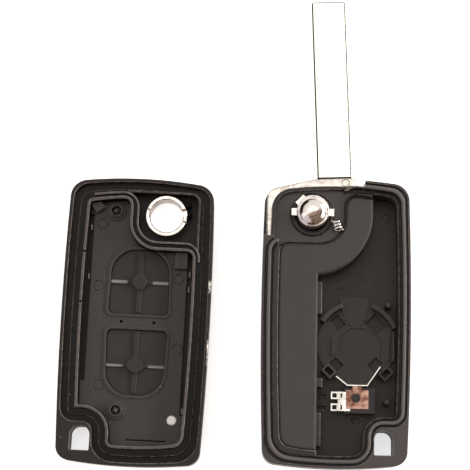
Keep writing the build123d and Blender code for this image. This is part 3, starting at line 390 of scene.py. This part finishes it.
metals = {
    "chrome": {  # chrome plate on polished zinc: mirror bright with faint smears
        "name": "chromePlatedPolished", "base": "#f0e9e4", "dull": "#cbbfb6", "rough": 0.09,
        "smear": 0.08, "bevel": 0.12, "outline": "#6b645c", "outlined": 0.4},
    "satinChrome": {  # chrome plate on blasted zinc: pale, soft, with greyer handling marks
        "name": "chromePlatedSatin", "base": "#f4ece4", "dull": "#9b9289", "rough": 0.26,
        "smear": 0.12, "bevel": 0.24, "outline": "#332e29", "outlined": 0.85},
    "blade": {  # nickel silver, milled, polished lengthwise: creamy white flats, with painted shade on the cut faces and at the root
        "name": "nickelSilverPolished", "base": "#f7f5ec", "dull": "#eeeae0", "rough": 0.2,
        "smear": 0.06, "bevel": 0.1, "polishLines": 0.35, "lean": 2.6,
        "cutFaceShade": "#3d3a35", "root": "#16130f", "rootLine": 10.3},
    "nickel": {  # nickel plate on stamped spring steel: cold bright grey
        "name": "nickelPlatedStamped", "base": "#f0eee8", "dull": "#c2bdb3", "rough": 0.16,
        "smear": 0.12, "bevel": 0.06, "outline": "#7a746c", "outlined": 0.2},
    "wire": {  # drawn spring wire: bright with draw lines
        "name": "springSteelDrawn", "base": "#eceae6", "dull": "#a5a19b", "rough": 0.2,
        "smear": 0.14, "bevel": 0.05},
    "pin": {  # turned steel, oiled: as pale as the bow, with a greenish dark line painted round its edge as shade
        "name": "steelTurned", "base": "#e9e7da", "dull": "#c0bda9", "rough": 0.24,
        "smear": 0.1, "bevel": 0.2, "outline": "#22231a", "outlined": 1.0},
}
metalSurface = {  # what all of them share, sizes in millimetres
    # painted shade: a dark colour laid in corners by the occlusion mask
    "edgeReach": 0.8, "smearSize": 2.2, "smearDepth": 0.002, "cornerShade": "#3b3530", "cornerShadeShare": 0.7,
    "cutFrom": 0.97, "cutTo": 0.9,  # upward part of the normal, from flat to cut face
    "lineDepth": 0.003, "lineStretch": 0.02,
}


def bladeCoats(tree, place, look):  # painted shade: the sloped cut faces and the root by the bow are painted dark, the flats stay pale
    upward = addNode(tree, "ShaderNodeSeparateXYZ", {
        0: addNode(tree, "ShaderNodeNewGeometry").outputs["True Normal"]}).outputs["Z"]
    facing = addNode(tree, "ShaderNodeMath", {0: upward}, operation="ABSOLUTE")
    cut = addNode(tree, "ShaderNodeMapRange", {
        "Value": facing.outputs[0], "From Min": metalSurface["cutFrom"],
        "From Max": metalSurface["cutTo"], "To Min": 0, "To Max": 1})
    turned = addNode(tree, "ShaderNodeMapping", {
        "Vector": place, "Rotation": (0, 0, math.radians(look["lean"]))}, vector_type="TEXTURE")
    along = addNode(tree, "ShaderNodeSeparateXYZ", {0: turned.outputs[0]}).outputs["Y"]
    root = addNode(tree, "ShaderNodeMath", {0: along, 1: look["rootLine"] * mm},
                   operation="LESS_THAN")
    return [(cut.outputs[0], look["cutFaceShade"]), (root.outputs[0], look["root"])]


def plainMetal(look):
    common = metalSurface
    material, tree, shader, place = startMaterial(look["name"])
    normal, edge, shadedCorner = softenEdges(tree, look["bevel"], common["edgeReach"])
    smears = addNode(tree, "ShaderNodeTexNoise", {
        "Vector": place, "Scale": featuresPerMetre(common["smearSize"]), "Detail": 5,
        "Roughness": 0.65, "Distortion": 0.6}).outputs["Fac"]
    dulled = addNode(tree, "ShaderNodeMapRange", {
        "Value": smears, "From Min": 0.45, "From Max": 0.75, "To Min": 0, "To Max": 1})
    coats = [(dulled.outputs[0], look["dull"])]
    if "cutFaceShade" in look:
        coats += bladeCoats(tree, place, look)
    if "outline" in look:  # a thin grey line painted along the edges as shade
        coats.append((edge, look["outlined"], look["outline"]))
    # painted shade in corners
    coats.append((shadedCorner, common["cornerShadeShare"], common["cornerShade"]))
    tree.links.new(layCoats(tree, look["base"], coats), shader.inputs["Base Color"])
    shader.inputs["Metallic"].default_value = 1
    rough = addNode(tree, "ShaderNodeMapRange", {
        "Value": smears, "From Min": 0.35, "From Max": 0.75,
        "To Min": look["rough"], "To Max": look["rough"] + look["smear"]})
    tree.links.new(rough.outputs[0], shader.inputs["Roughness"])
    relief, depth = smears, common["smearDepth"]
    if "polishLines" in look:  # about 0.05 mm apart, drawn wider so that they show
        along = addNode(tree, "ShaderNodeMapping", {
            "Vector": place, "Rotation": (0, 0, math.radians(-look["lean"])),
            "Scale": (1, common["lineStretch"], 1)})
        lines = addNode(tree, "ShaderNodeTexNoise", {
            "Vector": along.outputs[0], "Scale": featuresPerMetre(look["polishLines"]),
            "Detail": 4, "Roughness": 0.7})
        relief, depth = lines.outputs["Fac"], common["lineDepth"]
    bump = addNode(tree, "ShaderNodeBump", {
        "Strength": 1, "Distance": depth * mm, "Height": relief, "Normal": normal})
    tree.links.new(bump.outputs[0], shader.inputs["Normal"])
    return material


# Copper contact: phosphor bronze strip, stamped, pinkish with a redder stain round the stake

copperContact = {
    "base": "#c9a391", "tarnish": "#7f594c", "patchSize": 1.4, "rough": 0.3, "depth": 0.004,
    "bevel": 0.06, "edgeReach": 0.8,
    "stain": "#5c2a20", "stainReach": 3.2, "stainFull": 0.6, "stainShare": 0.72,
    "stainLeft": 1.3,  # the stain's middle, this far left of the strip's own
}


def stampedBronze(look):
    material, tree, shader, place = startMaterial("phosphorBronzeStamped")
    normal = softenEdges(tree, look["bevel"], look["edgeReach"])[0]
    low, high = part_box("contact_plate")
    middle = (low + high) / 2 - Vector((look["stainLeft"] * mm, 0, 0))
    distance = addNode(tree, "ShaderNodeVectorMath", {0: place, 1: middle}, operation="DISTANCE")
    near = addNode(tree, "ShaderNodeMapRange", {
        "Value": distance.outputs["Value"], "From Min": look["stainReach"] * mm,
        "From Max": look["stainFull"] * mm, "To Min": 0, "To Max": look["stainShare"]})
    patches = addNode(tree, "ShaderNodeTexNoise", {
        "Vector": place, "Scale": featuresPerMetre(look["patchSize"]), "Detail": 4,
        "Roughness": 0.6})
    blotch = addNode(tree, "ShaderNodeMapRange", {
        "Value": patches.outputs["Fac"], "From Min": 0.42, "From Max": 0.62,
        "To Min": 0, "To Max": 1})
    colour = layCoats(tree, look["base"], [
        (blotch.outputs[0], look["tarnish"]), (near.outputs[0], look["stain"])])
    tree.links.new(colour, shader.inputs["Base Color"])
    shader.inputs["Metallic"].default_value = 1
    shader.inputs["Roughness"].default_value = look["rough"]
    bump = addNode(tree, "ShaderNodeBump", {
        "Strength": 1, "Distance": look["depth"] * mm, "Height": patches.outputs["Fac"],
        "Normal": normal})
    tree.links.new(bump.outputs[0], shader.inputs["Normal"])
    return material


# Lamp lens: milky polycarbonate, moulded, scatters the light inside

lampLens = {
    "base": "#f6f6f4", "shade": "#e4e4e2", "cloudSize": 1, "rough": 0.18, "index": 1.58,
    "milky": 0.5, "milkDepth": 0.8, "depth": 0.004,
}


def mouldedPolycarbonate(look):
    material, tree, shader, place = startMaterial("polycarbonateMilky")
    clouds = addNode(tree, "ShaderNodeTexNoise", {
        "Vector": place, "Scale": featuresPerMetre(look["cloudSize"]), "Detail": 3}).outputs["Fac"]
    tree.links.new(layCoats(tree, look["base"], [(clouds, look["shade"])]),
                   shader.inputs["Base Color"])
    shader.inputs["Roughness"].default_value = look["rough"]
    shader.inputs["IOR"].default_value = look["index"]
    shader.inputs["Subsurface Weight"].default_value = look["milky"]
    shader.inputs["Subsurface Radius"].default_value = (1, 1, 1)
    shader.inputs["Subsurface Scale"].default_value = look["milkDepth"] * mm
    bump = addNode(tree, "ShaderNodeBump", {
        "Strength": 1, "Distance": look["depth"] * mm, "Height": clouds})
    tree.links.new(bump.outputs[0], shader.inputs["Normal"])
    return material


finishes = {name: mouldedPlastic(look) for name, look in plastics.items()}
finishes.update({name: plainMetal(look) for name, look in metals.items()})
for which in rubberKeys["middles"]:
    finishes["silicone" + which] = mouldedSilicone(rubberKeys, which)
finishes["bronze"] = stampedBronze(copperContact)
finishes["lens"] = mouldedPolycarbonate(lampLens)
print("materials made,", len(finishes))

nodeFinish = {
    "back_shell": "shell", "slot_cover": "cover", "front_shell": "front", "key_plate": "plate",
    "battery_holder": "holder", "contact_block": "block", "hub_bush": "hub",
    "unlock_button": "siliconeUpper", "lock_button": "siliconeLower",
    "flip_head": "satinChrome", "release_button": "chrome", "locking_ring": "chrome",
    "blade": "blade", "blade_pin": "pin", "spring_anchor": "wire", "flip_spring": "wire",
    "contact_strip": "nickel", "contact_fork": "nickel", "contact_plate": "bronze",
    "led_lens": "lens",
}
for nodeName, finish in nodeFinish.items():
    for slot in nodes[nodeName].material_slots:
        slot.material = finishes[finish]


# Springs: round wire, swept along a helix

def sweepWire(name, points, radius, sides=12):
    mesh = bmesh.new()
    across = None
    rings = []
    for i, point in enumerate(points):
        before = points[max(i - 1, 0)]
        after = points[min(i + 1, len(points) - 1)]
        along = (after - before).normalized()
        if across is None:
            across = along.orthogonal().normalized()
        across = (across - across.dot(along) * along).normalized()
        other = along.cross(across)
        ring = []
        for k in range(sides):
            turn = 2 * math.pi * k / sides
            offset = math.cos(turn) * across + math.sin(turn) * other
            ring.append(mesh.verts.new(point + radius * offset))
        rings.append(ring)
    for first, second in zip(rings, rings[1:]):
        for k in range(sides):
            mesh.faces.new((first[k], first[k - 1], second[k - 1], second[k]))
    mesh.faces.new(rings[0])
    mesh.faces.new(reversed(rings[-1]))
    bmesh.ops.recalc_face_normals(mesh, faces=mesh.faces)
    data = bpy.data.meshes.new(name)
    mesh.to_mesh(data)
    mesh.free()
    for face in data.polygons:
        face.use_smooth = len(face.vertices) == 4
    piece = bpy.data.objects.new(name, data)
    scene.collection.objects.link(piece)
    return piece


flipSpring = {
    "turns": 6.5, "wire": 0.7, "steps": 40, "endGap": 0.08,
    "pressed": 0.8,  # share of its height that is left when the button is down
}


def addFlipSpring(look):
    low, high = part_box("flip_spring")
    radius = (high.x - low.x) / 2 - look["wire"] / 2 * mm
    bottom = low.z + (look["wire"] / 2 + look["endGap"]) * mm
    top = high.z - (look["wire"] / 2 + look["endGap"]) * mm
    middle = (low + high) / 2
    count = int(look["turns"] * look["steps"])
    points = []
    for i in range(count + 1):
        share = i / count
        turn = 2 * math.pi * look["turns"] * share
        level = bottom + (top - bottom) * share
        points.append(Vector((
            middle.x + radius * math.cos(turn), middle.y + radius * math.sin(turn), level)))
    piece = sweepWire("flipSpringWire", points, look["wire"] / 2 * mm)
    piece.data.materials.append(finishes["wire"])
    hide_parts("flip_spring")
    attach(piece, "shell")
    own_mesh(piece)


springEye = {
    "wire": 0.6, "turns": 3.6, "steps": 40, "coilRadius": 1.04, "length": 2.8, "lean": -14.0,
    "toPivot": 0.24, "taper": 0.12,
    "tail": (0.35, 0.7, 1.0), "tailLean": (-0.25, 0.35),  # drops, and sideways for each of them
}


def addSpringEye(look):
    low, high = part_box("spring_anchor")
    middle = (low + high) / 2
    wire = look["wire"] / 2 * mm
    radius = look["coilRadius"] * mm
    lean = math.radians(look["lean"])
    along = Vector((-math.sin(lean), -math.cos(lean), 0))
    side = Vector((math.cos(lean), -math.sin(lean), 0))
    centre = Vector((middle.x - look["toPivot"] * mm, middle.y, high.z - wire - radius))
    start = centre - along * look["length"] / 2 * mm
    count = int(look["turns"] * look["steps"])
    points = []
    for i in range(count + 1):
        share = i / count
        turn = 2 * math.pi * look["turns"] * share + math.pi
        swell = 1 - look["taper"] * math.cos(math.pi * share)
        place = start + along * look["length"] * share * mm
        offset = radius * swell * (math.cos(turn) * side + math.sin(turn) * Vector((0, 0, 1)))
        points.append(place + offset)
    last = points[-1]
    aside, away = look["tailLean"]
    for drop in look["tail"]:  # it goes down to its hole in the well floor
        points.append(last + Vector((aside * drop, away * drop, -drop)) * mm)
    piece = sweepWire("springEyeWire", points, wire)
    piece.data.materials.append(finishes["wire"])
    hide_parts("spring_anchor")
    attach(piece, "shell")


addFlipSpring(flipSpring)
addSpringEye(springEye)
print("springs wound")


# Small moulded fittings: bevelled blocks that stand on the two halves

def addFitting(name, rings, bevel, finish):  # rings of points, in millimetres
    mesh = bmesh.new()
    levels = [[mesh.verts.new(Vector(point) * mm) for point in ring] for ring in rings]
    for lower, upper in zip(levels, levels[1:]):
        for k in range(len(lower)):
            mesh.faces.new((lower[k - 1], lower[k], upper[k], upper[k - 1]))
    mesh.faces.new(reversed(levels[0]))
    mesh.faces.new(levels[-1])
    bmesh.ops.recalc_face_normals(mesh, faces=mesh.faces)
    bmesh.ops.bevel(mesh, geom=mesh.edges[:], offset=bevel * mm, segments=2, profile=0.5,
                    affect="EDGES")
    data = bpy.data.meshes.new(name)
    mesh.to_mesh(data)
    mesh.free()
    data.materials.append(finishes[finish])
    piece = bpy.data.objects.new(name, data)
    scene.collection.objects.link(piece)
    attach(piece, "shell")


def atLevels(outline, *levels):
    return [[(x, y, z) for x, y in outline] for z in levels]


trayLedge = {  # ledge along the right wall of the tray, over the edge of the battery holder
    "profile": ((21.15, 1.85), (22.42, 1.85), (22.42, 3.0), (22.0, 3.1), (21.8, 3.9), (21.15, 3.9)),
    "lowY": -37.3, "highY": -29.6, "bevel": 0.12,
}
ringStops = {  # two black stops beside the locking ring, painted near black as the shade of the notch there
    "upper": ((-32.7, 1.9), (-31.3, 1.9), (-31.35, 3.3), (-33.3, 3.3)),
    "lower": ((-32.1, -0.75), (-31.25, -0.75), (-31.25, 0.9), (-32.3, 0.9)),
    "low": 1.35, "high": 4.75, "bevel": 0.22,
}
stakeCaps = {  # heat-formed four-lobed caps on the stakes of the key plate
    "middles": {"Upper": (-50.77, 0.68), "Lower": (-49.4, -51.1)},
    "lobe": 0.95, "waist": 0.5, "low": 3.55, "rim": 3.95, "high": 4.35, "turn": 18,
    "tip": 0.25,  # size of the top, as a share of the rim's
    "bevel": 0.04,
}
snapHooks = {  # small ramps in the side slots of the key plate
    "places": {  # the last number is the side that it leans to
        "LeftTop": (-57.3, -3.6, 1), "LeftLow": (-57.6, -16.5, 1), "RightTop": (-31.2, -15.6, -1),
        "RightMiddle": (-31.35, -19.6, -1), "RightLow": (-32.3, -51.0, -1)},
    "length": 1.5, "foot": 0.75, "tip": 0.2, "low": 1.35, "high": 2.75, "bevel": 0.07,
}

ends = (trayLedge["lowY"], trayLedge["highY"])
addFitting("trayLedge", [[(x, y, z) for x, z in trayLedge["profile"]] for y in ends],
           trayLedge["bevel"], "cover")
for which in ("upper", "lower"):
    rings = atLevels(ringStops[which], ringStops["low"], ringStops["high"])
    addFitting("ringStop" + which.title(), rings, ringStops["bevel"], "notchShadow")
for which, (x, y) in stakeCaps["middles"].items():
    star = []
    for k in range(8):
        turn = math.radians(stakeCaps["turn"] + 45 * k)
        radius = stakeCaps["waist"] if k % 2 else stakeCaps["lobe"]
        star.append((x + radius * math.cos(turn), y + radius * math.sin(turn)))
    tip = [(x + stakeCaps["tip"] * (a - x), y + stakeCaps["tip"] * (b - y)) for a, b in star]
    rings = atLevels(star, stakeCaps["low"], stakeCaps["rim"]) + atLevels(tip, stakeCaps["high"])
    addFitting("stakeCap" + which, rings, stakeCaps["bevel"], "cap")
for which, (x, y, side) in snapHooks["places"].items():
    half = snapHooks["length"] / 2
    rings = []
    for level, reach in (("low", "foot"), ("high", "tip")):
        z = snapHooks[level]
        far = x + side * snapHooks[reach]
        rings.append([(x, y - half, z), (far, y - half, z), (far, y + half, z), (x, y + half, z)])
    addFitting("snapHook" + which, rings, snapHooks["bevel"], "hook")
print("small fittings added")


# Table: satin opal acrylic, lit from below, so it is near white and its shadows stay faint

table = {
    "size": 6.0, "colour": "#f6f6f6", "shade": "#f2f2f2", "cloudSize": 60, "rough": 0.6,
    "glow": 0.22, "seenGlow": 0.5,  # the second is added where the table itself is in view
}


def addTable(look):
    mesh = bmesh.new()
    bmesh.ops.create_grid(mesh, x_segments=8, y_segments=8, size=look["size"] / 2)  # metres
    data = bpy.data.meshes.new("table")
    mesh.to_mesh(data)
    mesh.free()
    piece = bpy.data.objects.new("table", data)
    scene.collection.objects.link(piece)
    material, tree, shader, place = startMaterial("opalAcrylicSatin")
    clouds = addNode(tree, "ShaderNodeTexNoise", {
        "Vector": place, "Scale": featuresPerMetre(look["cloudSize"]), "Detail": 2}).outputs["Fac"]
    tree.links.new(layCoats(tree, look["colour"], [(clouds, look["shade"])]),
                   shader.inputs["Base Color"])
    shader.inputs["Roughness"].default_value = look["rough"]
    shader.inputs["Emission Color"].default_value = linearColour(look["colour"])
    straight = addNode(tree, "ShaderNodeLightPath").outputs["Is Camera Ray"]
    glow = addNode(tree, "ShaderNodeMath", {
        0: straight, 1: look["seenGlow"], 2: look["glow"]}, operation="MULTIPLY_ADD")
    tree.links.new(glow.outputs[0], shader.inputs["Emission Strength"])
    data.materials.append(material)


addTable(table)


# Light: a low key lamp from the right, in a room that is pale beyond the blade and dark behind

softBoxes = {  # azimuth and elevation in degrees, metres and watts
    "key": {
        "azimuth": 8, "elevation": 20, "distance": 1.0, "width": 0.24, "length": 1.2,
        "power": 13.0, "colour": "#fffcf8"},
    "left": {
        "azimuth": 222, "elevation": 27, "distance": 1.0, "width": 0.9, "length": 1.2,
        "power": 1.8, "colour": "#f8f6ff"},
}
room = {  # directions run from -1 to 1, and heights from 0 at the table's level to 1 overhead
    "backdrop": "#f3f2f0",  # what side views look at
    "strength": 0.95, "ceiling": 0.6, "ceilingFrom": 0.7, "ceilingTo": 0.93,  # brighter overhead
    "pale": "#fffaf5", "paleTowards": (-0.42, 0.91, 0.0), "borderFrom": -0.2, "borderTo": 0.12,
    "dark": "#2a1b15", "darkPatch": "#c4aa97", "patchScale": 9, "patchFrom": 0.42, "patchTo": 0.64,
    "ragged": 0.5,  # how far the patches break up the border between pale and dark
    "horizon": "#211d1b", "horizonFrom": 0.05, "horizonTo": 0.3,  # low down on the left
    "horizonRight": (-0.1, 0.4),
    "shadeTowards": (-0.87, 0.5, 0.0), "shadeWidth": (0.62, 0.8),  # a dark thing on the upper left
    "shadeTo": 0.48, "shadeEdge": 0.1,
}


def addSoftBox(name, look):
    data = bpy.data.lights.new(name, "AREA")
    data.shape = "RECTANGLE"
    data.size = look["width"]
    data.size_y = look["length"]
    data.energy = look["power"]
    data.color = linearColour(look["colour"])[:3]
    lamp = bpy.data.objects.new(name, data)
    lamp.visible_camera = False
    around = math.radians(look["azimuth"])
    above = math.radians(look["elevation"])
    away = Vector((
        math.cos(above) * math.cos(around), math.cos(above) * math.sin(around), math.sin(above)))
    across = Vector((0, 1, 0)).cross(away).normalized()
    turn = Matrix((across, away.cross(across), away)).transposed().to_4x4()
    target = Vector(cameraSetup["target"]) * mm
    lamp.matrix_world = Matrix.Translation(target + look["distance"] * away) @ turn
    scene.collection.objects.link(lamp)


def addRoom(look):
    world = bpy.data.worlds.new("room")
    scene.world = world
    world.use_nodes = True
    tree = world.node_tree
    tree.nodes.clear()
    direction = addNode(tree, "ShaderNodeTexCoord").outputs["Generated"]
    parts = addNode(tree, "ShaderNodeSeparateXYZ", {0: direction})
    height = parts.outputs["Z"]
    facing, facingShade = [addNode(tree, "ShaderNodeVectorMath", {
        0: direction, 1: Vector(look[key]).normalized()}, operation="DOT_PRODUCT").outputs["Value"]
        for key in ("paleTowards", "shadeTowards")]
    things = addNode(tree, "ShaderNodeTexNoise", {
        "Vector": direction, "Scale": look["patchScale"], "Detail": 5,
        "Roughness": 0.75}).outputs["Fac"]
    patch = addNode(tree, "ShaderNodeMapRange", {
        "Value": things, "From Min": look["patchFrom"], "From Max": look["patchTo"],
        "To Min": 0, "To Max": 1})
    centred = addNode(tree, "ShaderNodeMath", {0: things, 1: -0.5}, operation="ADD")
    border = addNode(tree, "ShaderNodeMath", {
        0: centred.outputs[0], 1: look["ragged"], 2: facing}, operation="MULTIPLY_ADD")
    paleSide = addNode(tree, "ShaderNodeMapRange", {
        "Value": border.outputs[0], "From Min": look["borderFrom"], "From Max": look["borderTo"],
        "To Min": 0, "To Max": 1}, interpolation_type="SMOOTHSTEP")
    low = addNode(tree, "ShaderNodeMapRange", {
        "Value": height, "From Min": look["horizonFrom"], "From Max": look["horizonTo"],
        "To Min": 1, "To Max": 0}, interpolation_type="SMOOTHSTEP")
    leftmost, rightmost = look["horizonRight"]
    left = addNode(tree, "ShaderNodeMapRange", {
        "Value": parts.outputs["X"], "From Min": leftmost, "From Max": rightmost,
        "To Min": 1, "To Max": 0})
    lowLeft = addNode(tree, "ShaderNodeMath", {0: low.outputs[0], 1: left.outputs[0]},
                      operation="MINIMUM")
    outer, inner = look["shadeWidth"]
    shaded = addNode(tree, "ShaderNodeMapRange", {
        "Value": facingShade, "From Min": outer, "From Max": inner, "To Min": 0, "To Max": 1})
    below = addNode(tree, "ShaderNodeMapRange", {
        "Value": height, "From Min": look["shadeTo"],
        "From Max": look["shadeTo"] - look["shadeEdge"], "To Min": 0, "To Max": 1})
    straight = addNode(tree, "ShaderNodeLightPath").outputs["Is Camera Ray"]
    colour = layCoats(tree, look["dark"], [
        (patch.outputs[0], look["darkPatch"]), (paleSide.outputs[0], look["pale"]),
        (lowLeft.outputs[0], look["horizon"]),
        (shaded.outputs[0], below.outputs[0], look["horizon"]), (straight, look["backdrop"])])
    overhead = addNode(tree, "ShaderNodeMapRange", {
        "Value": height, "From Min": look["ceilingFrom"], "From Max": look["ceilingTo"],
        "To Min": 0, "To Max": look["ceiling"]}, interpolation_type="SMOOTHSTEP")
    power = addNode(tree, "ShaderNodeMath", {0: overhead.outputs[0], 1: look["strength"]},
                    operation="ADD")
    light = addNode(tree, "ShaderNodeBackground", {"Color": colour, "Strength": power.outputs[0]})
    addNode(tree, "ShaderNodeOutputWorld", {"Surface": light.outputs[0]})


for boxName, look in softBoxes.items():
    addSoftBox(boxName, look)
addRoom(room)
scene.view_settings.view_transform = "Standard"
print("light and table set")
